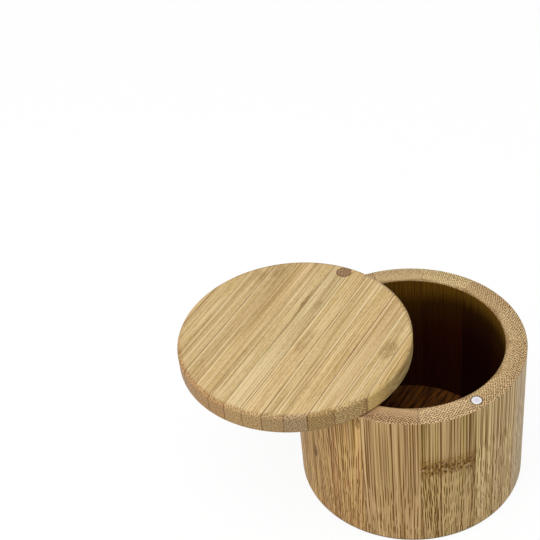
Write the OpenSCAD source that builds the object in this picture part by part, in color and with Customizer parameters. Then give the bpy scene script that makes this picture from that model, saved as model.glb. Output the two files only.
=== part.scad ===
// Round bamboo salt box. The origin is the centre of the foot, on the table.
// The lid is drawn swung open about its upright pivot screw.

/* [Ring] */
// Outside diameter of the turned ring
body_d = 89; // [84:0.5:110]
// Height of the ring from the table to the rim
body_h = 64; // [45:0.5:100]
// Thickness of the wall
wall_t = 8; // [7.5:0.25:12]
// Number of staves glued side by side around the ring
stave_count = 13; // [8:1:18]
// Angle of the first glue joint, seen from above
joint_turn = -89.5; // [-180:0.5:180]
// Rounding of the outer edge at the foot
foot_round = 2; // [0.5:0.25:3]
// Rounding of the rim's two edges
rim_round = 0.5; // [0.2:0.1:1.5]

/* [Base board] */
// Thickness of the base board
base_t = 5.5; // [4:0.25:9]
// How far the base board reaches under the wall
base_ledge = 4; // [2:0.25:5]
// Width of one strip of the base board, fitted so that whole strips fill it
base_strip_w = 7.4; // [5:0.1:12]
// Direction of the base strips, seen from above
base_turn = 56; // [-90:1:90]

/* [Lid] */
// Diameter of the lid
lid_d = 89; // [84:0.5:110]
// Thickness of the lid
lid_t = 8; // [7.5:0.25:12]
// Rounding of the lid's upper edge
lid_round = 1.5; // [0.5:0.25:4]
// Rounding of the lid's lower edge
lid_under_round = 0.8; // [0.2:0.1:1.5]
// Width of one strip of the lid board, fitted so that whole strips add up to the lid
lid_strip_w = 7.4; // [5:0.1:12]
// What the lid's round cut leaves of its first strip
lid_first_strip_w = 2.8; // [1.2:0.05:4]
// Angle between the strips and the line from the pivot to the magnet
lid_strip_turn = 1; // [-45:1:45]
// How far the lid is swung open
lid_open = 64; // [0:1:180]

/* [Pivot] */
// Angle of the pivot around the rim, seen from above
pivot_turn = 124; // [90:1:180]
// Diameter of the screw over its thread
screw_d = 3; // [2.5:0.1:3.5]
// Length of the screw below its head
screw_l = 16; // [12:0.5:25]
// Length of the screw's thread
thread_l = 11; // [6:0.5:11]
// Pitch of the screw's thread
thread_pitch = 1.1; // [0.8:0.1:1.4]
// Depth of the screw's thread
thread_depth = 0.4; // [0.2:0.05:0.5]
// Diameter of the screw's head
head_d = 5; // [4.5:0.1:5.2]
// Height of the screw's head
head_h = 1.8; // [1.4:0.1:2]
// Width of the slots of the cross recess
recess_w = 0.8; // [0.5:0.1:1]
// Span of the cross recess
recess_span = 3; // [2:0.1:3.6]
// Depth of the cross recess
recess_depth = 1; // [0.5:0.1:1.2]
// Diameter of the washer under the head
head_washer_d = 5.4; // [5:0.1:5.6]
// Thickness of the washer under the head
head_washer_t = 0.5; // [0.3:0.1:0.6]
// Diameter of the slip washer between rim and lid
slip_washer_d = 7; // [5:0.1:7.4]
// Thickness of the slip washer
slip_washer_t = 0.3; // [0.2:0.05:1]
// Diameter of the wooden plug over the screw
plug_d = 6; // [5.9:0.1:7]
// Thickness of the plug
plug_t = 3; // [1.5:0.1:3.2]
// Least wood between the plug and the lid's edge
plug_edge = 0.6; // [0.5:0.05:0.9]

/* [Magnets] */
// Diameter of both magnets
magnet_d = 4; // [3:0.1:6]
// Thickness of both magnets
magnet_t = 3; // [2:0.25:5]
// Rounding of the magnets' edges
magnet_round = 0.25; // [0.1:0.05:0.4]
// Angle around the rim between the magnets and the point opposite the pivot
magnet_turn = -2; // [-4:0.5:4]

/* [Fits] */
// Glue space around a round seat
glue_gap = 0.05; // [0.02:0.01:0.1]
// Running clearance of the lid around the screw
turn_gap = 0.1; // [0.02:0.01:0.15]
// Running clearance of the lid above and below
lift_gap = 0.05; // [0.02:0.01:0.1]
// Space beside the washer in its recess
washer_gap = 0.1; // [0.05:0.05:0.15]
// Space between the screw's head and the plug
head_room = 0.3; // [0.1:0.05:0.5]

/* [Hidden] */
$fn = 96;
// How far a cut runs past the face that it opens
cut = 1;

// Ring
body_r = body_d / 2;
inner_r = body_r - wall_t;
middle_r = body_r - wall_t / 2;
stave_angle = 360 / stave_count;

// Base board, with its middle strip on the axis
base_r = inner_r + base_ledge - glue_gap;
base_side_strips = round((2 * base_r / base_strip_w - 1) / 2);
base_count = 2 * base_side_strips + 1;
base_step = 2 * base_r / base_count;

// Lid
lid_r = lid_d / 2;
lid_z = body_h + slip_washer_t + lift_gap;
lid_count = round(lid_d / lid_strip_w) + 1;
lid_step = lid_d / (lid_count - 1);

// Pivot in the middle of the wall, or further in where the lid's edge asks for it
pivot_r = min(middle_r, lid_r - plug_d / 2 - plug_edge);
pivot = pivot_r * [cos(pivot_turn), sin(pivot_turn)];

// Stepped hole for the screw's head and the plug, from the lid's top down
plug_z = lid_z + lid_t - plug_t;
head_z = plug_z - head_room - head_h;
washer_z = head_z - head_washer_t;
recess_z = washer_z - lift_gap;
head_recess_r = head_washer_d / 2 + washer_gap;

// Screw, with its thread measured up from the tip
screw_r = screw_d / 2;
thread_root_r = screw_r - thread_depth;
screw_tip_z = head_z - screw_l;
thread_turns = floor(thread_l / thread_pitch);
thread_top = screw_r + thread_turns * thread_pitch;

wood = "burlywood";
end_wood = "tan";
dark_wood = "sienna";
steel = "silver";
plastic = "gainsboro";

function two(i) = str(i < 9 ? "0" : "", i + 1);

// What rounding takes off a lower right corner that lies at the origin
module corner_cut(round_r) {
    difference() {
        translate([-round_r, -cut])
            square([round_r + cut, round_r + cut]);
        translate([-round_r, round_r])
            circle(round_r);
    }
}

// Half section of a disc with rounded edges, standing on the axis
module disc_section(disc_r, disc_h, upper_round, lower_round) {
    difference() {
        square([disc_r, disc_h]);
        translate([disc_r, 0])
            corner_cut(lower_round);
        translate([disc_r, disc_h])
            mirror([0, 1])
                corner_cut(upper_round);
    }
}

// Flat washer standing on the origin
module washer(outer_d, hole_d, thickness) {
    difference() {
        cylinder(h = thickness, d = outer_d);
        translate([0, 0, -cut])
            cylinder(h = thickness + 2 * cut, d = hole_d);
    }
}

// Moves its children from the axis to the pivot
module at_pivot(z) {
    translate([pivot[0], pivot[1], z])
        children();
}

// Moves its children to the rim's middle, about opposite the pivot
module at_rim_magnet(z) {
    rotate([0, 0, pivot_turn + 180 + magnet_turn])
        translate([pivot_r, 0, z])
            children();
}

// Puts what is drawn for the closed lid, its length along X from the pivot, where the open lid is
module on_lid(z) {
    at_pivot(z)
        rotate([0, 0, pivot_turn + 180 - lid_open])
            children();
}

// Moves its children to the lid's magnet, which meets the rim's when the lid is closed
module at_lid_magnet(z) {
    on_lid(z)
        translate([pivot_r, 0, 0])
            rotate([0, 0, magnet_turn])
                translate([pivot_r, 0, 0])
                    children();
}

// Section of the wall: rounded foot and rim, and the rabbet for the base board
module wall_section() {
    difference() {
        translate([inner_r, 0])
            square([wall_t, body_h]);
        translate([body_r, 0])
            corner_cut(foot_round);
        translate([body_r, body_h])
            mirror([0, 1])
                corner_cut(rim_round);
        translate([inner_r, body_h])
            mirror([1, 0])
                mirror([0, 1])
                    corner_cut(rim_round);
        translate([inner_r - cut, -cut])
            square([base_ledge + cut, base_t + cut]);
    }
}

// One stave of the ring, with its part of the screw's hole and of the magnet's seat
module stave(i) {
    color(end_wood)
        difference() {
            rotate([0, 0, joint_turn + i * stave_angle])
                rotate_extrude(angle = stave_angle)
                    wall_section();
            at_pivot(screw_tip_z - lift_gap)
                cylinder(h = body_h, r = screw_r + glue_gap);
            at_rim_magnet(body_h - magnet_t)
                cylinder(h = magnet_t + cut, r = magnet_d / 2 + glue_gap);
        }
}

// One strip of the base board
module base_strip(i) {
    color(wood)
        intersection() {
            cylinder(h = base_t, r = base_r);
            rotate([0, 0, base_turn])
                translate([-body_d, (i - base_count / 2) * base_step, -cut])
                    cube([2 * body_d, base_step, base_t + 2 * cut]);
        }
}

// One strip of the lid board, with its part of the holes for the screw, plug and magnet
module lid_strip(i) {
    color(wood)
        difference() {
            on_lid(lid_z)
                translate([pivot_r, 0, 0])
                    intersection() {
                        rotate_extrude()
                            disc_section(lid_r, lid_t, lid_round, lid_under_round);
                        rotate([0, 0, lid_strip_turn])
                            translate([-lid_d, lid_first_strip_w - lid_r + (i - 1) * lid_step, -cut])
                                cube([2 * lid_d, lid_step, lid_t + 2 * cut]);
                    }
            at_pivot(lid_z - cut)
                cylinder(h = lid_t, r = screw_r + turn_gap);
            at_pivot(recess_z)
                cylinder(h = lid_t, r = head_recess_r);
            at_pivot(plug_z)
                cylinder(h = plug_t + cut, r = plug_d / 2 + glue_gap);
            at_lid_magnet(lid_z - cut)
                cylinder(h = magnet_t + cut, r = magnet_d / 2 + glue_gap);
        }
}

// Half section of the screw from its tip to the middle of its head
module shank_section() {
    thread_points = [
        for (i = [0 : thread_turns - 1]) each [
            [thread_root_r, screw_r + i * thread_pitch],
            [screw_r, screw_r + (i + 0.5) * thread_pitch]
        ]
    ];
    polygon(concat(
        [[0, 0]],
        thread_points,
        [[thread_root_r, thread_top], [screw_r, thread_top + thread_depth]],
        [[screw_r, screw_l + head_h / 2], [0, screw_l + head_h / 2]]
    ));
}

// Wood screw: pan head with a cross recess, smooth shank, ridged end with a point
module pivot_screw() {
    color(steel)
        at_pivot(screw_tip_z)
            difference() {
                rotate_extrude() {
                    shank_section();
                    translate([0, screw_l])
                        disc_section(head_d / 2, head_h, head_h / 2, head_h / 12);
                }
                for (a = [0, 90])
                    rotate([0, 0, a])
                        translate([-recess_span / 2, -recess_w / 2, screw_l + head_h - recess_depth])
                            cube([recess_span, recess_w, recess_depth + cut]);
            }
}

// Washer between the screw's head and the bottom of its recess
module head_washer() {
    color(steel)
        at_pivot(washer_z)
            washer(head_washer_d, screw_d + 2 * glue_gap, head_washer_t);
}

// Thin washer that the lid slides on
module slip_washer() {
    color(plastic)
        at_pivot(body_h)
            washer(slip_washer_d, screw_d + 2 * glue_gap, slip_washer_t);
}

// Plug that closes the screw's hole, flush with the lid's top
module pivot_plug() {
    color(dark_wood)
        at_pivot(plug_z)
            cylinder(h = plug_t, d = plug_d);
}

// Magnet with rounded edges, standing on the origin
module magnet() {
    color(steel)
        rotate_extrude()
            disc_section(magnet_d / 2, magnet_t, magnet_round, magnet_round);
}

// Magnet let into the rim, its face flush with the rim
module rim_magnet() {
    at_rim_magnet(body_h - magnet_t)
        magnet();
}

// Magnet let into the lid's underside, above the rim's magnet when the lid is closed
module lid_magnet() {
    at_lid_magnet(lid_z)
        magnet();
}

for (i = [0 : stave_count - 1])
    stave(i);
for (i = [0 : base_count - 1])
    base_strip(i);
for (i = [0 : lid_count - 1])
    lid_strip(i);
pivot_screw();
head_washer();
slip_washer();
pivot_plug();
rim_magnet();
lid_magnet();
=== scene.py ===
import math
import random
from collections import namedtuple

import bpy
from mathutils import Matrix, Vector

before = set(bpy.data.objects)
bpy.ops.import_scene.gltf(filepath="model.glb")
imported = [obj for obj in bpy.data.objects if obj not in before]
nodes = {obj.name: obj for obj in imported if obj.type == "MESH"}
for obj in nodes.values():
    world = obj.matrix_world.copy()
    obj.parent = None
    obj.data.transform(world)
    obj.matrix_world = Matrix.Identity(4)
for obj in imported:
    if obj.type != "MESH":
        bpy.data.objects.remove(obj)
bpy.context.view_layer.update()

# Sizes of the object in millimetres, in the frame of the part
MM_PER_METRE = 1000.0
BODY_R = 44.5
BODY_H = 64.0
WALL_T = 8.0
INNER_R = BODY_R - WALL_T
MIDDLE_R = BODY_R - WALL_T / 2.0
STAVE_COUNT = 13
STAVE_ANGLE = 360.0 / STAVE_COUNT
FIRST_JOINT = -89.5
BASE_LEDGE = 4.0
GLUE_GAP = 0.05
BASE_R = INNER_R + BASE_LEDGE - GLUE_GAP
BASE_T = 5.5
BASE_STRIPS = 11
BASE_STRIP_W = 2.0 * BASE_R / BASE_STRIPS
BASE_TURN = 56.0
LID_R = 44.5
LID_STRIPS = 13
LID_STRIP_W = 2.0 * LID_R / (LID_STRIPS - 1)
LID_FIRST_W = 2.8
LID_STRIP_TURN = 1.0
LID_OPEN = 64.0
PIVOT_TURN = 124.0
MAGNET_TURN = -2.0
PLUG_R = 3.0
MAGNET_R = 2.0


def polar(radius, degrees):
    """The point at that radius and angle around the ring's axis, at the height of the foot."""
    angle = math.radians(degrees)
    return Vector((radius * math.cos(angle), radius * math.sin(angle), 0.0))


# Places worked out from the sizes
AXIS = Vector((0.0, 0.0, 0.0))
UP = Vector((0.0, 0.0, 1.0))
PIVOT = polar(MIDDLE_R, PIVOT_TURN)
LID_TOWARDS = PIVOT_TURN + 180.0 - LID_OPEN
LID_CENTRE = PIVOT + polar(MIDDLE_R, LID_TOWARDS)
MAGNET = polar(MIDDLE_R, PIVOT_TURN + 180.0 + MAGNET_TURN)

# Camera fitted to the outlines in the photograph, in metres, radians and millimetres of film
CAMERA_AT = (-0.02282865, -0.33610246, 0.3618383)
CAMERA_TURN = (0.91089, 0.08954, 0.00942)
CAMERA_LENS = 78.146
CAMERA_SENSOR = 36.0

# Light, with places and sizes in metres and powers in watts
WORLD_LEVEL = 0.58
KEY_AT = (-0.25, -0.40, 1.05)
KEY_SIZE = 0.9
KEY_POWER = 7.5
FILL_AT = (-0.95, -0.65, 0.25)
FILL_SIZE = 0.8
FILL_POWER = 2.5
LIGHT_AIM = (0.0, 0.0, 0.03)
FLOOR_HALF = 4.0
FLOOR_GLOW = 0.92
GREY = (0.5, 0.5, 0.5, 1.0)
WHITE = (1.0, 1.0, 1.0, 1.0)

# Depth that a bump of height 1 stands for, in metres
BUMP_DEPTH = 0.0002

# How squarely a face has to cut the grain to begin to show end grain, and to show nothing else
END_GRAIN_FROM = 0.12
END_GRAIN_FULL = 0.42

# Height over which the straight streaks of a stave turn into flames
FLAME_FADE = 8.0

# Seeds, and how far colours and the turn of the bundles differ from piece to piece
RING_SEED = 11
BOARDS_SEED = 12
STAVE_SEED = 100
LID_SEED, LID_SEED_STEP = 300.0, 7.3
BASE_SEED, BASE_SEED_STEP = 500.0, 5.1
TONE_SPREAD = 0.06
WARMTH_SHARE = 0.35
STAVE_TURN_SPREAD = 12.0
BOARD_TURN_SPREAD = 25.0

# Strengths of the pale streak beside a strip's first joint, which about half of the strips don't have
SHINES = (0.0, 0.0, 0.45, 0.7)

# Layers of noise drawn out along the grain: pitch and length in millimetres, then what is added to the seed
# so that no two layers of a piece repeat each other, and detail
Layer = namedtuple("Layer", "pitch length seed detail")
STAVE_DRIFT = Layer(7.0, 45.0, 0, 1.0)
STAVE_FINE = Layer(0.62, 60.0, 11, 1.0)
STAVE_BROAD = Layer(3.0, 70.0, 23, 2.0)
STAVE_HAIR = Layer(0.55, 90.0, 41, 0.0)
STAVE_HUE = Layer(1.3, 60.0, 53, 1.0)
STAVE_JITTER = Layer(1.1, 7.0, 71, 1.0)
BOARD_DRIFT = Layer(8.0, 60.0, 0, 1.0)
BOARD_FINE = Layer(0.55, 34.0, 7, 2.0)
BOARD_BROAD = Layer(3.0, 40.0, 17, 2.0)
BOARD_SPECKS = Layer(0.55, 1.6, 37, 2.0)
BOARD_HAIR = Layer(0.5, 45.0, 41, 0.0)
BOARD_HUE = Layer(1.2, 90.0, 53, 1.0)
BOARD_JOINT = Layer(3.0, 8.0, 61, 1.0)
BOX_FLOOR_BROAD = Layer(0.9, 9.0, 29, 2.0)

# Numbers of the sockets of a colour mix, whose names repeat
MIX_A, MIX_B, MIX_RESULT = 6, 7, 2


def rgb(r, g, b):
    """A colour given as printed values out of 255, in the linear values that shaders use."""
    printed = [c / 255.0 for c in (r, g, b)]
    return tuple(c / 12.92 if c <= 0.04045 else ((c + 0.055) / 1.055) ** 2.4 for c in printed) + (1.0,)


# Colours of the staves that no look changes
STAVE_GLUE = rgb(104, 74, 42)
STAVE_MARK = rgb(98, 60, 16)
MOUTH_EDGE = rgb(110, 78, 34)
PALE_RIM_EDGE = rgb(216, 186, 140)
# Painted shadow along the foot of the ring
FOOT_CONTACT_SHADOW = rgb(70, 48, 26)
INNER_LINE = rgb(26, 10, 3)
# Painted shade of the gap around the rim magnet
SEAT_GAP_SHADE = rgb(76, 48, 24)
BAND_TEETH = rgb(104, 68, 10)
BAND_HAZE = rgb(142, 98, 34)
BAND_CORE = rgb(98, 64, 16)
BAND_DARK_PIT = rgb(60, 36, 12)
BAND_LIGHT_PIT = rgb(216, 190, 148)

# Colours of the boards that no look changes
BOARD_GLUE = rgb(90, 52, 18)
BOARD_MARK = rgb(124, 88, 42)
# Painted shade on the upper face of the base, inside the box
BOX_FLOOR_SHADE_PALE = rgb(126, 74, 22)
BOX_FLOOR_SHADE_DEEP = rgb(46, 17, 4)

# Colours of the fittings
PLUG_LIGHT = rgb(154, 120, 86)
PLUG_DARK = rgb(100, 72, 46)
# Painted shade of the gap around the plug
PLUG_EDGE_SHADE = rgb(96, 68, 42)
STEEL = rgb(190, 190, 190)
NICKEL = rgb(226, 223, 228)
MAGNET_MIDDLE = rgb(208, 209, 220)
MAGNET_FACE = rgb(231, 226, 228)
# Painted shade along the magnet's rounded edge
MAGNET_EDGE_SHADE = rgb(140, 124, 112)
PLASTIC_LIGHT = rgb(222, 222, 216)
PLASTIC_DARK = rgb(208, 208, 202)

# What the keys of a look mean, with sizes in millimetres:
# light, light_2 and dark colour the faces, thread and hair are the thin lines along the grain;
# rim_light and rim_dark colour the rim, end_light and end_dark the ends of strips, the inside keys the box's
# inside with painted shade;
# pitch, turn and loose lay the grid of fibre bundles, bundle_in and bundle_out are a bundle's soft edge;
# slope, drift, lean, flame_z and flame_slope bend that grid, the last three only below the height flame_z;
# rib and rib_pitch are thin upright lines, dot and dot_pitch the dots on cut ends;
# streak, joint, first_joint, last_joint and shine are strengths, fall darkens the foot of the wall;
# inner_dot is the strength of the rim's dots at the mouth, where 1 is their full strength.
STAVE_LOOK = {
    "light": rgb(208, 178, 118), "light_2": rgb(210, 172, 124), "dark": rgb(108, 70, 8),
    "rim_light": rgb(214, 181, 132), "rim_dark": rgb(58, 32, 8),
    "thread": rgb(222, 188, 138), "hair": rgb(104, 62, 4),
    "inside_shade_low": rgb(44, 14, 3), "inside_shade_mid": rgb(58, 34, 3), "inside_shade_top": rgb(122, 86, 22),
    "pitch": 0.74, "turn": 45.0, "loose": 0.4, "bundle_in": 0.08, "bundle_out": 0.34,
    "slope": 0.012, "drift": 0.3, "lean": 0.002, "flame_z": 34.0, "flame_slope": 0.02,
    "rib": 0.68, "rib_pitch": 0.98, "dot": 0.9, "dot_pitch": 0.84, "inner_dot": 0.7,
    "streak": 1.0, "joint": 0.6, "fall": 0.0,
}

# What single staves do differently. A band or a mark is a place where the bamboo had a node.
# Marks are given as across and along the grain, half width, half length and strength.
STAVE_CHANGES = {
    1: {"light": rgb(206, 178, 114), "light_2": rgb(208, 174, 120), "dark": rgb(98, 63, 2),
        "rim_light": rgb(222, 189, 142), "rim_dark": rgb(56, 30, 4),
        "turn": 43.0, "loose": 0.3, "bundle_in": 0.1, "bundle_out": 0.44, "rib": 0.78,
        "lean": 0.004, "flame_z": 38.0, "flame_slope": 0.06, "band": {"z": 40.0, "slope": -0.055}},
    # Staves 2 and 3, at the right of the front, have their faces lightened with painted light.
    2: {"light": rgb(252, 224, 160), "light_2": rgb(254, 220, 166), "dark": rgb(126, 88, 20), "fall": 0.22,
        "bundle_in": 0.1, "bundle_out": 0.38, "flame_z": 48.0, "flame_slope": 0.04, "seat": True},
    3: {"light": rgb(250, 226, 176), "light_2": rgb(252, 222, 184), "dark": rgb(122, 92, 40), "fall": 0.2,
        "flame_z": 50.0, "flame_slope": 0.04},
    # Staves 5 to 8 change the painted shade on their inner face.
    5: {"inside_shade_low": rgb(34, 5, 2), "inside_shade_mid": rgb(54, 28, 3)},
    6: {"rim_light": rgb(228, 199, 145),
        "inside_shade_low": rgb(58, 19, 5), "inside_shade_mid": rgb(64, 37, 4), "inside_shade_top": rgb(116, 80, 18)},
    7: {"rim_light": rgb(225, 195, 143),
        "inside_shade_low": rgb(72, 30, 9), "inside_shade_mid": rgb(78, 48, 7), "inside_shade_top": rgb(110, 76, 18)},
    8: {"inside_shade_low": rgb(72, 30, 9), "inside_shade_mid": rgb(76, 45, 7), "inside_shade_top": rgb(118, 82, 24)},
    11: {"light": rgb(227, 185, 108), "light_2": rgb(229, 179, 114), "dark": rgb(108, 66, 0), "fall": 0.15,
         "marks": ((8.3, 31.0, 1.5, 4.6, 1.0),)},
    12: {"light": rgb(234, 195, 124), "light_2": rgb(236, 189, 130), "dark": rgb(108, 60, 0), "fall": 0.34,
         "streak": 1.25, "rib": 0.6, "lean": 0.006, "flame_z": 48.0, "flame_slope": 0.035,
         "marks": ((9.6, 60.5, 1.6, 3.6, 1.0),)},
    13: {"light": rgb(204, 172, 116), "light_2": rgb(206, 168, 122), "dark": rgb(102, 62, 2),
         "rim_light": rgb(198, 162, 120), "rim_dark": rgb(56, 28, 4),
         "turn": 50.0, "loose": 0.3, "slope": 0.008, "rib": 0.7, "inner_dot": 0.3},
}
BOARD_LOOK = {
    "light": rgb(211, 185, 132), "light_2": rgb(214, 184, 136), "dark": rgb(154, 120, 61),
    "end_light": rgb(197, 164, 115), "end_dark": rgb(80, 52, 18),
    "thread": rgb(232, 208, 162), "hair": rgb(140, 106, 58),
    "pitch": 0.64, "turn": 40.0, "streak": 0.2, "dot": 0.72,
    "shine": 0.0, "first_joint": 0.8, "last_joint": 0.8,
}

# What single strips of the lid do differently. A tone above 1 makes the faces of a strip lighter.
WARM_END = {"end_light": rgb(194, 154, 105), "end_dark": rgb(82, 48, 14)}
LID_CHANGES = {
    1: WARM_END,
    2: {**WARM_END, "tone": 0.96},
    3: {**WARM_END, "marks": ((-29.0, -25.0, 3.0, 5.0, 0.4),)},
    4: {**WARM_END, "tone": 0.96, "marks": ((-24.5, -31.0, 3.6, 6.0, 0.5),)},
    5: {**WARM_END, "tone": 0.95},
    6: {**WARM_END, "tone": 0.96, "marks": ((-4.4, -18.0, 2.0, 7.0, 0.6),)},
    7: {"light": rgb(210, 190, 142), "light_2": rgb(212, 189, 146), "marks": ((0.6, -17.5, 1.8, 5.0, 0.5),)},
    8: {"marks": ((6.0, 3.0, 3.0, 9.0, 0.4),)},
    9: {"tone": 1.08},
    10: {"end_light": rgb(187, 158, 118), "end_dark": rgb(80, 57, 30)},
    11: {"tone": 0.94, "end_light": rgb(185, 152, 100), "end_dark": rgb(78, 53, 18)},
    12: {"end_light": rgb(203, 171, 117), "marks": ((36.4, -5.6, 4.2, 7.0, 0.55),)},
    13: {"light": rgb(204, 176, 117), "light_2": rgb(206, 174, 121),
         "end_light": rgb(218, 188, 122), "end_dark": rgb(120, 92, 44), "dot": 0.3},
}


class Net:
    """Short calls that build the node tree of a material or a world."""

    def __init__(self, owner):
        owner.use_nodes = True
        self.owner = owner
        self.tree = owner.node_tree
        self.tree.nodes.clear()

    def add(self, kind, **settings):
        made = self.tree.nodes.new(kind)
        for key, value in settings.items():
            setattr(made, key, value)
        return made

    def put(self, socket, value):
        if isinstance(value, bpy.types.NodeSocket):
            self.tree.links.new(value, socket)
        elif value is not None:
            socket.default_value = value

    def fill(self, made, values):
        """Puts the values on the node's first sockets and gives its first output."""
        for socket, value in zip(made.inputs, values):
            self.put(socket, value)
        return made.outputs[0]

    def math(self, operation, a, b=None, c=None, clamp=False):
        return self.fill(self.add("ShaderNodeMath", operation=operation, use_clamp=clamp), (a, b, c))

    def plus(self, a, b):
        return self.math("ADD", a, b)

    def minus(self, a, b):
        return self.math("SUBTRACT", a, b)

    def times(self, a, b):
        return self.math("MULTIPLY", a, b)

    def share(self, a, b):
        """The product of both, kept between 0 and 1."""
        return self.math("MULTIPLY", a, b, clamp=True)

    def times_plus(self, a, b, c):
        return self.math("MULTIPLY_ADD", a, b, c)

    def sway(self, base, noise, amount):
        """The base, raised where the noise is above a half and lowered where it is below."""
        return self.times_plus(self.minus(noise, 0.5), amount, base)

    def vector(self, operation, a, b=None):
        made = self.add("ShaderNodeVectorMath", operation=operation)
        self.fill(made, (a, b))
        return made.outputs["Value" if operation in ("DOT_PRODUCT", "LENGTH") else "Vector"]

    def combine(self, x, y, z=0.0):
        return self.fill(self.add("ShaderNodeCombineXYZ"), (x, y, z))

    def split(self, vector):
        made = self.add("ShaderNodeSeparateXYZ")
        self.put(made.inputs[0], vector)
        return made.outputs

    def step(self, value, low, high, out_low=0.0, out_high=1.0):
        """Runs smoothly from out_low at low to out_high at high."""
        made = self.add("ShaderNodeMapRange", interpolation_type="SMOOTHSTEP")
        return self.fill(made, (value, low, high, out_low, out_high))

    def noise(self, vector, scale=1.0, detail=2.0, roughness=0.5):
        made = self.add("ShaderNodeTexNoise")
        self.put(made.inputs["Vector"], vector)
        self.put(made.inputs["Scale"], scale)
        self.put(made.inputs["Detail"], detail)
        self.put(made.inputs["Roughness"], roughness)
        return made.outputs[0]

    def cells(self, vector, scale=1.0, randomness=1.0):
        """Distance from the nearest point of a loose grid, and a random number for that point."""
        made = self.add("ShaderNodeTexVoronoi", voronoi_dimensions="2D")
        self.put(made.inputs["Vector"], vector)
        self.put(made.inputs["Scale"], scale)
        self.put(made.inputs["Randomness"], randomness)
        return made.outputs["Distance"], made.outputs["Color"]

    def mix(self, factor, a, b):
        made = self.add("ShaderNodeMix", data_type="RGBA")
        self.put(made.inputs["Factor"], factor)
        self.put(made.inputs[MIX_A], a)
        self.put(made.inputs[MIX_B], b)
        return made.outputs[MIX_RESULT]

    def mix_shaders(self, factor, a, b):
        return self.fill(self.add("ShaderNodeMixShader"), (factor, a, b))

    def place(self):
        """The point on the object, in millimetres, which moves with its body."""
        coordinates = self.add("ShaderNodeTexCoord").outputs["Object"]
        return self.vector("MULTIPLY", coordinates, (MM_PER_METRE, MM_PER_METRE, MM_PER_METRE))

    def end(self, kind, shader):
        self.put(self.add(kind).inputs["Surface"], shader)

    def finish(self, colour, roughness, height, bump, specular=0.2, metallic=0.0):
        shader = self.add("ShaderNodeBsdfPrincipled")
        self.put(shader.inputs["Base Color"], colour)
        self.put(shader.inputs["Roughness"], roughness)
        self.put(shader.inputs["Specular IOR Level"], specular)
        self.put(shader.inputs["Metallic"], metallic)
        relief = self.add("ShaderNodeBump")
        self.put(relief.inputs["Strength"], bump)
        self.put(relief.inputs["Distance"], BUMP_DEPTH)
        self.put(relief.inputs["Height"], height)
        self.put(shader.inputs["Normal"], relief.outputs[0])
        self.end("ShaderNodeOutputMaterial", shader.outputs[0])
        return self.owner


def material_net(name):
    return Net(bpy.data.materials.new(name))


def flat_distance(net, place, centre):
    """Distance from the upright line through the centre."""
    xyz = net.split(net.vector("SUBTRACT", place, centre))
    return net.vector("LENGTH", net.combine(xyz[0], xyz[1]))


# A point in the wood, in millimetres: u across the grain, v in depth, w along it, and end is 1 on end grain
Wood = namedtuple("Wood", "place u v w end")


def wood_grain(net, origin, across, depth, along):
    place = net.place()
    local = net.vector("SUBTRACT", place, origin)
    u, v, w = (net.vector("DOT_PRODUCT", local, direction) for direction in (across, depth, along))
    facing = net.add("ShaderNodeTexCoord").outputs["Normal"]
    end = net.math("ABSOLUTE", net.vector("DOT_PRODUCT", facing, along))
    return Wood(place, u, v, w, net.step(end, END_GRAIN_FROM, END_GRAIN_FULL))


def long_streaks(net, wood, layer, seed):
    """Noise drawn out along the grain."""
    seed = seed + layer.seed
    moved = net.combine(
        net.times_plus(wood.u, 1.0 / layer.pitch, seed),
        net.times_plus(wood.v, 1.0 / layer.pitch, seed * 1.3),
        net.times_plus(wood.w, 1.0 / layer.length, seed * 0.6),
    )
    return net.noise(moved, detail=layer.detail, roughness=0.55)


def fibre_bundles(net, u, v, pitch, turn, loose, seed, inner=0.18, outer=0.52):
    """1 in the middle of a fibre bundle, 0 between bundles."""
    c, s = math.cos(math.radians(turn)), math.sin(math.radians(turn))
    x = net.times_plus(u, c, net.times_plus(v, s, seed))
    y = net.times_plus(u, -s, net.times_plus(v, c, seed * 0.7))
    distance = net.cells(net.combine(x, y), 1.0 / pitch, loose)[0]
    return net.step(distance, inner, outer, 1.0, 0.0)


def hairlines(net, colour, wood, look, layer, seed, share):
    """Thin light and dark lines along the grain."""
    lines = long_streaks(net, wood, layer, seed)
    colour = net.mix(net.step(lines, 0.58, 0.68, 0.0, share), colour, look["thread"])
    return net.mix(net.step(lines, 0.3, 0.4, share, 0.0), colour, look["hair"])


def two_tone(net, wood, look, layer, seed):
    """The light colour of a face, which changes from one streak to the next."""
    hue = long_streaks(net, wood, layer, seed)
    return net.mix(net.step(hue, 0.38, 0.62), look["light"], look["light_2"])


def ribs(net, wood, pitch, seed):
    """Thin unbroken lines along the grain, at nearly even spacing and of uneven strength."""
    made = net.add("ShaderNodeTexVoronoi", voronoi_dimensions="1D")
    net.put(made.inputs["W"], net.times_plus(wood.w, 0.004, net.plus(wood.u, seed)))
    net.put(made.inputs["Scale"], 1.0 / pitch)
    net.put(made.inputs["Randomness"], 0.7)
    line = net.step(made.outputs["Distance"], 0.08, 0.36, 1.0, 0.0)
    return net.times(line, net.step(net.split(made.outputs["Color"])[0], 0.0, 1.0, 0.35, 1.0))


def node_mark(net, colour, wood, mark, seed, tone):
    """A brown mark across the wood, a fan of short thin lines, where the bamboo had a node."""
    across, along, half_width, half_length, strength = mark
    x = net.times(net.minus(wood.u, across), 1.0 / half_width)
    y = net.times(net.minus(wood.w, along), 1.0 / half_length)
    inside = net.step(net.vector("LENGTH", net.combine(x, y)), 0.45, 1.0, 1.0, 0.0)
    spread = net.times_plus(net.math("ABSOLUTE", y), 0.12, 1.0)
    fan = net.times(net.times(wood.u, 1.6), spread)
    flecks = net.noise(net.combine(net.plus(fan, seed), net.times(wood.w, 0.16)), roughness=0.6)
    share = net.times(inside, net.step(flecks, 0.44, 0.56, 0.35, 1.0))
    return net.mix(net.times(share, strength), colour, tone)


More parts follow.
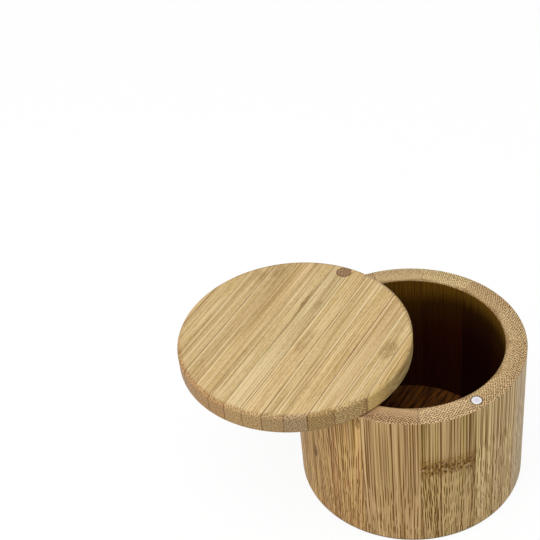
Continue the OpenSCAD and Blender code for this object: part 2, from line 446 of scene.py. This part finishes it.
def node_band(net, colour, wood, shade, band, seed):
    """The brown band where the bamboo had a node: dark teeth upwards, dark and light pits."""
    height = net.minus(wood.w, net.times_plus(wood.u, band["slope"], band["z"]))
    teeth = net.noise(net.combine(net.times_plus(wood.u, 1.1, seed), net.times(wood.w, 0.09)), roughness=0.6)
    ragged = net.sway(height, teeth, 10.0)
    haze = net.times(net.step(ragged, 1.4, 6.0, 1.0, 0.0), net.step(ragged, -4.6, -2.4))
    core = net.times(net.step(ragged, 0.8, 2.4, 1.0, 0.0), net.step(ragged, -4.2, -2.0))
    blots = net.noise(net.combine(net.times_plus(wood.u, 0.95, seed), net.times(wood.w, 0.7)), roughness=0.6)
    distance, kind = net.cells(net.combine(net.times_plus(wood.u, 0.8, seed), net.times(wood.w, 0.7)))
    pit = net.step(distance, 0.16, 0.42, 1.0, 0.0)
    kind = net.split(kind)[0]
    light_pit = net.times(pit, net.step(kind, 0.16, 0.2, 0.8, 0.0))
    dark_pit = net.times(pit, net.step(kind, 0.6, 0.65, 0.0, 0.9))
    above = net.times(net.step(height, 0.0, 9.0, 0.85, 0.0), net.step(height, -1.0, 0.5))
    above = net.times(above, net.step(shade, 0.0, 0.7, 0.1, 1.0))
    colour = net.mix(above, colour, BAND_TEETH)
    colour = net.mix(net.times(haze, net.step(blots, 0.35, 0.6, 0.25, 0.75)), colour, BAND_HAZE)
    colour = net.mix(net.times(core, net.step(blots, 0.45, 0.62, 0.1, 0.85)), colour, BAND_CORE)
    colour = net.mix(net.times(haze, dark_pit), colour, BAND_DARK_PIT)
    return net.mix(net.times(core, light_pit), colour, BAND_LIGHT_PIT)


def magnet_gap_shade(net, colour, place):
    """Painted shade of the gap around the magnet in the rim, a dark ring on the wood."""
    radius = flat_distance(net, place, MAGNET)
    return net.mix(net.step(radius, MAGNET_R + GLUE_GAP, MAGNET_R + 0.5, 0.85, 0.0), colour, SEAT_GAP_SHADE)


def thickened(net, depth, amount):
    """Depth counted from the wall's middle, stretched so that the outer bundles lie closer together."""
    offset = net.minus(depth, MIDDLE_R)
    return net.times_plus(net.times(offset, offset), amount, offset)


def stave_bundles(net, wood, below, look, seed):
    """Bundles cut at a slant by the round wall, which show as streaks and as flames below flame_z."""
    drift = long_streaks(net, wood, STAVE_DRIFT, seed)
    slope = net.times_plus(below, -look["flame_slope"], net.times(wood.w, look["slope"]))
    depth = net.plus(net.times_plus(drift, look["drift"], slope), wood.v)
    jitter = long_streaks(net, wood, STAVE_JITTER, seed)
    depth = net.sway(depth, jitter, net.times(below, 0.05))
    return fibre_bundles(net, wood.u, thickened(net, depth, 0.03), look["pitch"], look["turn"], look["loose"],
                         seed, look["bundle_in"], look["bundle_out"])


def stave_shade(net, wood, below, bundle, fine, broad, look, seed):
    """How dark the wall is, from 0 between the streaks to 1 on them."""
    streak = net.step(below, 0.0, FLAME_FADE, look["streak"] * 0.25, look["streak"])
    rib = net.step(below, 0.0, FLAME_FADE, look["rib"], look["rib"] * 0.4)
    shade = net.times_plus(ribs(net, wood, look["rib_pitch"], seed), rib, net.times(bundle, streak))
    return net.sway(net.sway(shade, fine, 1.2), broad, 0.15)


def stave_wall(net, wood, shade, look, seed):
    """Light and dark streaks with thin lines between them, darker towards the foot where the look says so."""
    light = two_tone(net, wood, look, STAVE_HUE, seed)
    light = net.mix(net.step(wood.w, 4.0, 60.0, look["fall"], 0.0), light, look["dark"])
    wall = net.mix(net.step(shade, -0.2, 0.82), light, look["dark"])
    return hairlines(net, wall, wood, look, STAVE_HAIR, seed, share=0.6)


def stave_rim(net, wood, broad, look, seed):
    """End grain: dots that grow closer and stronger outwards, and a dark line at the mouth."""
    depth = thickened(net, wood.v, 0.02)
    dot = fibre_bundles(net, wood.u, depth, look["dot_pitch"], look["turn"], 0.34, seed + 3, 0.26, 0.5)
    outward = net.step(wood.v, INNER_R + 0.5, BODY_R - 1.5, look["inner_dot"], 1.0)
    dots = net.times(dot, net.times(outward, look["dot"]))
    rim = net.mix(dots, look["rim_light"], look["rim_dark"])
    rim = net.mix(net.share(net.minus(broad, 0.35), 0.3), rim, look["rim_dark"])
    return net.mix(net.step(wood.v, INNER_R + 0.1, INNER_R + 0.9, 0.5, 0.0), rim, MOUTH_EDGE)


def stave_joints(net, colour, wood, look):
    """The thin glue line on both sides of the stave."""
    half = math.radians(STAVE_ANGLE / 2.0)
    from_side = net.minus(net.times(wood.v, math.sin(half)),
                          net.times(net.math("ABSOLUTE", wood.u), math.cos(half)))
    return net.mix(net.step(from_side, 0.02, 0.22, look["joint"], 0.0), colour, STAVE_GLUE)


def stave_edges(net, colour, wood, radius, shade):
    """Painted shadow along the foot, where the wall meets the floor, and the rim's outer edge lighter."""
    # Painted shadow along the foot.
    colour = net.mix(net.step(wood.w, 0.8, 2.3, 0.75, 0.0), colour, FOOT_CONTACT_SHADOW)
    edge = net.times(net.step(radius, BODY_R - 0.7, BODY_R - 0.1),
                     net.step(wood.w, BODY_H - 0.8, BODY_H - 0.1))
    return net.mix(net.times(edge, net.step(shade, 0.1, 0.6, 0.3, 0.0)), colour, PALE_RIM_EDGE)


def stave_inside_shade(net, colour, wood, radius, shade, fine, look):
    """The inner face, coloured with painted shade that deepens downwards and pales towards the mouth."""
    inside = net.times(net.step(radius, INNER_R + 0.15, INNER_R + 0.5, 1.0, 0.0),
                       net.step(wood.w, BODY_H - 0.6, BODY_H - 0.15, 1.0, 0.0))
    # Painted light: the pale part of the inside reaches further down where x is negative.
    level = net.plus(wood.w, net.step(net.split(wood.place)[0], -5.0, 28.0, 7.0, 1.5))
    level = net.sway(level, fine, 8.0)
    dark = net.mix(net.step(level, 40.0, 60.0), look["inside_shade_low"], look["inside_shade_mid"])
    dark = net.mix(net.step(level, 56.0, 66.0), dark, look["inside_shade_top"])
    dark = net.mix(net.share(shade, 0.75), dark, INNER_LINE)
    return net.mix(inside, colour, dark)


def stave_material(index, look):
    """Bamboo stave: streaks on the wall, dots on the rim, a dark inside."""
    seed = random.Random(STAVE_SEED + index).uniform(0, 60)
    middle = FIRST_JOINT + STAVE_ANGLE * (index - 0.5)
    net = material_net(f"ring_bamboo_{index:02d}")
    wood = wood_grain(net, AXIS, polar(1.0, middle + 90.0), polar(1.0, middle), UP)
    radius = flat_distance(net, wood.place, AXIS)
    below = net.math("MAXIMUM", net.minus(look["flame_z"], wood.w), 0.0)
    leaned = wood._replace(u=net.times(wood.u, net.times_plus(below, look["lean"], 1.0)))
    fine = long_streaks(net, leaned, STAVE_FINE, seed)
    broad = long_streaks(net, leaned, STAVE_BROAD, seed)
    bundle = stave_bundles(net, leaned, below, look, seed)
    shade = stave_shade(net, leaned, below, bundle, fine, broad, look, seed)

    wall = stave_wall(net, leaned, shade, look, seed)
    colour = net.mix(wood.end, wall, stave_rim(net, wood, broad, look, seed))
    colour = stave_joints(net, colour, wood, look)
    if "band" in look:
        colour = node_band(net, colour, wood, shade, look["band"], seed)
    for mark in look.get("marks", ()):
        colour = node_mark(net, colour, wood, mark, seed, STAVE_MARK)
    if "seat" in look:
        colour = magnet_gap_shade(net, colour, wood.place)
    colour = stave_edges(net, colour, wood, radius, shade)
    colour = stave_inside_shade(net, colour, wood, radius, shade, fine, look)

    height = net.times_plus(bundle, 0.6, fine)
    rough = net.times_plus(bundle, 0.12, 0.5)
    return net.finish(colour, rough, height, bump=0.12, specular=0.1)


def torn_edge(net, wood, origin, seed):
    """Open pores on the last 2 mm of the lid's faces, where its edge cuts across the grain."""
    radius = flat_distance(net, wood.place, origin)
    towards_end = net.math("DIVIDE", net.math("ABSOLUTE", wood.w), radius)
    dots = net.noise(net.combine(net.times_plus(wood.u, 1.8, seed), net.times(wood.w, 1.8)), detail=1.0)
    near_edge = net.step(net.sway(radius, dots, 1.2), LID_R - 1.9, LID_R - 1.2)
    return net.times(net.step(towards_end, 0.25, 0.6, 0.0, 0.7), near_edge)


def strip_shade(net, wood, bundle, fine, look, seed):
    """How dark a strip's face is: faint bundles, streaks, and short specks."""
    shade = net.sway(net.times(bundle, look["streak"]), fine, 0.7)
    shade = net.sway(shade, long_streaks(net, wood, BOARD_BROAD, seed), 0.4)
    return net.sway(shade, long_streaks(net, wood, BOARD_SPECKS, seed), 1.1)


def strip_joints(net, colour, wood, end, low, high, look, seed):
    """Glue lines on both sides of the strip, uneven on the faces, with a pale streak beside the first."""
    first = net.minus(wood.u, low)
    last = net.minus(high, wood.u)
    shine = net.times(net.step(first, 0.2, 0.4), net.step(first, 0.6, 0.9, look["shine"], 0.0))
    colour = net.mix(net.times(shine, net.minus(1.0, end)), colour, look["thread"])
    first = net.step(first, 0.08, 0.34, look["first_joint"], 0.0)
    last = net.step(last, 0.05, 0.26, look["last_joint"], 0.0)
    uneven = net.step(long_streaks(net, wood, BOARD_JOINT, seed), 0.35, 0.6, 0.55, 1.0)
    joint = net.times(net.math("MAXIMUM", first, last), net.math("MAXIMUM", uneven, end))
    return net.mix(joint, colour, BOARD_GLUE)


# What a board's strip gives to its material: the colour, and what the roughness and the bump are made of
Strip = namedtuple("Strip", "net wood colour bundle fine")


def bamboo_strip(name, seed, origin, turn, low, high, look):
    """Strip of a glued-up board, from low to high across it: streaks on the faces, dots on the ends."""
    net = material_net(name)
    wood = wood_grain(net, origin, polar(1.0, turn + 90.0), UP, polar(1.0, turn))
    drift = long_streaks(net, wood, BOARD_DRIFT, seed)
    depth = net.plus(net.times_plus(drift, 1.6, net.times(wood.w, 0.012)), wood.v)
    bundle = fibre_bundles(net, wood.u, depth, look["pitch"], look["turn"], 0.5, seed)
    fine = long_streaks(net, wood, BOARD_FINE, seed)
    end = net.math("MAXIMUM", wood.end, torn_edge(net, wood, origin, seed))

    light = two_tone(net, wood, look, BOARD_HUE, seed)
    shade = strip_shade(net, wood, bundle, fine, look, seed)
    face = net.mix(net.step(shade, -0.4, 0.95), light, look["dark"])
    face = hairlines(net, face, wood, look, BOARD_HAIR, seed, share=0.52)
    ends = net.mix(net.times(bundle, look["dot"]), look["end_light"], look["end_dark"])
    colour = net.mix(end, face, ends)
    for mark in look.get("marks", ()):
        colour = node_mark(net, colour, wood, mark, seed, BOARD_MARK)
    colour = strip_joints(net, colour, wood, end, low, high, look, seed)
    return Strip(net, wood, colour, bundle, fine)


def lid_material(index, look):
    """A strip as it is, sanded smoother than the ring."""
    seed = LID_SEED + LID_SEED_STEP * index
    low = LID_FIRST_W - LID_R + (index - 2) * LID_STRIP_W
    strip = bamboo_strip(f"board_bamboo_lid_{index:02d}", seed, LID_CENTRE,
                         LID_TOWARDS + LID_STRIP_TURN, low, low + LID_STRIP_W, look)
    net = strip.net
    height = net.times_plus(strip.bundle, 0.5, strip.fine)
    rough = net.times_plus(strip.bundle, 0.1, 0.46)
    return net.finish(strip.colour, rough, height, bump=0.1, specular=0.12)


def base_material(index, look):
    """As on the lid, with painted shade on the upper face inside the box."""
    seed = BASE_SEED + BASE_SEED_STEP * index
    low = (index - 1 - BASE_STRIPS / 2) * BASE_STRIP_W
    strip = bamboo_strip(f"board_bamboo_base_{index:02d}", seed, AXIS,
                         BASE_TURN, low, low + BASE_STRIP_W, look)
    net = strip.net
    broad = long_streaks(net, strip.wood, BOX_FLOOR_BROAD, seed)
    shade = net.times_plus(strip.fine, 0.5, broad)
    # Painted shade on the upper face inside the box.
    dark = net.mix(net.step(shade, 0.55, 0.95), BOX_FLOOR_SHADE_PALE, BOX_FLOOR_SHADE_DEEP)
    colour = net.mix(net.step(strip.wood.v, BASE_T - 0.3, BASE_T - 0.1), strip.colour, dark)
    height = net.times_plus(strip.bundle, 0.5, strip.fine)
    return net.finish(colour, 0.55, height, bump=0.1)


def plug_material():
    """Dark wood with its end grain up, with painted shade of the gap along its edge."""
    net = material_net("dark_wood")
    place = net.place()
    xyz = net.split(net.vector("SUBTRACT", place, PIVOT))
    bundle = fibre_bundles(net, xyz[0], xyz[1], pitch=0.9, turn=30.0, loose=0.8, seed=5.0)
    radius = flat_distance(net, place, PIVOT)
    colour = net.mix(net.times(bundle, 0.7), PLUG_LIGHT, PLUG_DARK)
    # Painted shade of the gap along the plug's edge.
    colour = net.mix(net.step(radius, PLUG_R - 0.6, PLUG_R - 0.1, 0.0, 0.8), colour, PLUG_EDGE_SHADE)
    return net.finish(colour, 0.5, bundle, bump=0.1)


def fine_scratches(net, place):
    return net.noise(place, scale=2.5, detail=3.0, roughness=0.6)


def metal_finish(net, scratches, colour, smoothest, roughest):
    rough = net.step(scratches, 0.3, 0.7, smoothest, roughest)
    return net.finish(colour, rough, scratches, bump=0.03, metallic=1.0)


def metal_material(name, colour, smoothest):
    """Plain metal, a little darker and rougher where it is scratched."""
    net = material_net(name)
    scratches = fine_scratches(net, net.place())
    darker = tuple(c * 0.93 for c in colour[:3]) + (1.0,)
    return metal_finish(net, scratches, net.mix(scratches, colour, darker), smoothest, smoothest + 0.12)


def magnet_material():
    """Nickel plating, with painted shade along the rounded edge."""
    net = material_net("nickel_rim")
    place = net.place()
    radius = flat_distance(net, place, MAGNET)
    tint = net.mix(net.step(radius, 0.3, 1.5), MAGNET_MIDDLE, MAGNET_FACE)
    # Painted shade along the rounded edge.
    tint = net.mix(net.step(radius, MAGNET_R - 0.3, MAGNET_R, 0.0, 0.8), tint, MAGNET_EDGE_SHADE)
    return metal_finish(net, fine_scratches(net, place), tint, 0.33, 0.42)


def plastic_material():
    """Pale nylon with a fine grain."""
    net = material_net("plastic")
    grain = net.noise(net.place(), scale=4.0)
    return net.finish(net.mix(grain, PLASTIC_LIGHT, PLASTIC_DARK), 0.5, grain, bump=0.05)


def toned(look, rng, turn_spread):
    """A copy of a look, a little lighter or darker, with its bundles turned."""
    made = dict(look)
    level = 1.0 + rng.uniform(-TONE_SPREAD, TONE_SPREAD)
    warm = 1.0 + rng.uniform(-TONE_SPREAD, TONE_SPREAD) * WARMTH_SHARE
    for key, value in look.items():
        if isinstance(value, tuple):
            made[key] = (value[0] * level * warm, value[1] * level, value[2] * level / warm, 1.0)
    made["turn"] = look["turn"] + rng.uniform(-turn_spread, turn_spread)
    return made


def shaded(look):
    """A copy of a look with its faces lighter or darker by its tone."""
    made = dict(look)
    for key in ("light", "light_2", "dark", "thread", "hair"):
        made[key] = tuple(c * look.get("tone", 1.0) for c in look[key][:3]) + (1.0,)
    return made


def dress(name, material):
    piece = nodes[name]
    piece.data.materials.clear()
    piece.data.materials.append(material)


def dress_ring():
    rng = random.Random(RING_SEED)
    for i in range(1, STAVE_COUNT + 1):
        look = toned(STAVE_LOOK, rng, STAVE_TURN_SPREAD)
        look.update(STAVE_CHANGES.get(i, {}))
        dress(f"stave_{i:02d}", stave_material(i, look))


def dress_boards():
    rng = random.Random(BOARDS_SEED)
    for i in range(1, LID_STRIPS + 1):
        look = toned(BOARD_LOOK, rng, BOARD_TURN_SPREAD)
        look.update(LID_CHANGES.get(i, {}))
        look = shaded(look)
        look["shine"] = rng.choice(SHINES)
        look["first_joint"] = rng.uniform(0.45, 0.95)
        look["last_joint"] = rng.uniform(0.2, 0.9)
        dress(f"lid_strip_{i:02d}", lid_material(i, look))
    for i in range(1, BASE_STRIPS + 1):
        look = toned(BOARD_LOOK, rng, BOARD_TURN_SPREAD)
        dress(f"base_strip_{i:02d}", base_material(i, look))


def dress_fittings():
    steel = metal_material("steel", STEEL, 0.3)
    dress("pivot_screw", steel)
    dress("head_washer", steel)
    dress("slip_washer", plastic_material())
    dress("pivot_plug", plug_material())
    dress("rim_magnet", magnet_material())
    dress("lid_magnet", metal_material("nickel", NICKEL, 0.35))


def direct_sight(net):
    """1 for rays from the camera, from reflections and through glass, 0 for light on the object."""
    ray = net.add("ShaderNodeLightPath").outputs
    reflected = net.math("MAXIMUM", ray["Is Camera Ray"], ray["Is Glossy Ray"])
    return net.math("MAXIMUM", reflected, ray["Is Transmission Ray"])


def floor_material():
    """White where it is seen, apart from the object's shadow, and grey where it lights the object."""
    net = material_net("floor_white")
    seen = direct_sight(net)
    paper = net.add("ShaderNodeBsdfDiffuse")
    net.put(paper.inputs["Color"], net.mix(seen, GREY, WHITE))
    glow = net.add("ShaderNodeEmission").outputs[0]
    shader = net.mix_shaders(net.times(seen, FLOOR_GLOW), paper.outputs[0], glow)
    net.end("ShaderNodeOutputMaterial", shader)
    return net.owner


def add_floor():
    h = FLOOR_HALF
    mesh = bpy.data.meshes.new("floor")
    mesh.from_pydata([(-h, -h, 0), (h, -h, 0), (h, h, 0), (-h, h, 0)], [], [(0, 1, 2, 3)])
    mesh.materials.append(floor_material())
    floor = bpy.data.objects.new("floor", mesh)
    bpy.context.scene.collection.objects.link(floor)


def add_light(name, place, size, power):
    data = bpy.data.lights.new(name, "AREA")
    data.shape = "SQUARE"
    data.size = size
    data.energy = power
    lamp = bpy.data.objects.new(name, data)
    lamp.location = place
    lamp.rotation_euler = (Vector(LIGHT_AIM) - Vector(place)).to_track_quat("-Z", "Y").to_euler()
    bpy.context.scene.collection.objects.link(lamp)


def add_world():
    """Plain white where it is seen, and soft light on the object."""
    net = Net(bpy.data.worlds.new("studio"))
    soft = net.add("ShaderNodeBackground")
    white = net.add("ShaderNodeBackground")
    net.fill(soft, (WHITE, WORLD_LEVEL))
    net.fill(white, (WHITE, 1.0))
    net.end("ShaderNodeOutputWorld", net.mix_shaders(direct_sight(net), soft.outputs[0], white.outputs[0]))
    bpy.context.scene.world = net.owner


def add_camera():
    data = bpy.data.cameras.new("camera")
    data.sensor_width = CAMERA_SENSOR
    data.lens = CAMERA_LENS
    camera = bpy.data.objects.new("camera", data)
    camera.location = CAMERA_AT
    camera.rotation_euler = CAMERA_TURN
    bpy.context.scene.collection.objects.link(camera)
    bpy.context.scene.camera = camera


dress_ring()
dress_boards()
dress_fittings()
add_floor()
add_light("key", KEY_AT, KEY_SIZE, KEY_POWER)
add_light("fill", FILL_AT, FILL_SIZE, FILL_POWER)
add_world()
add_camera()
bpy.context.scene.view_settings.view_transform = "Standard"
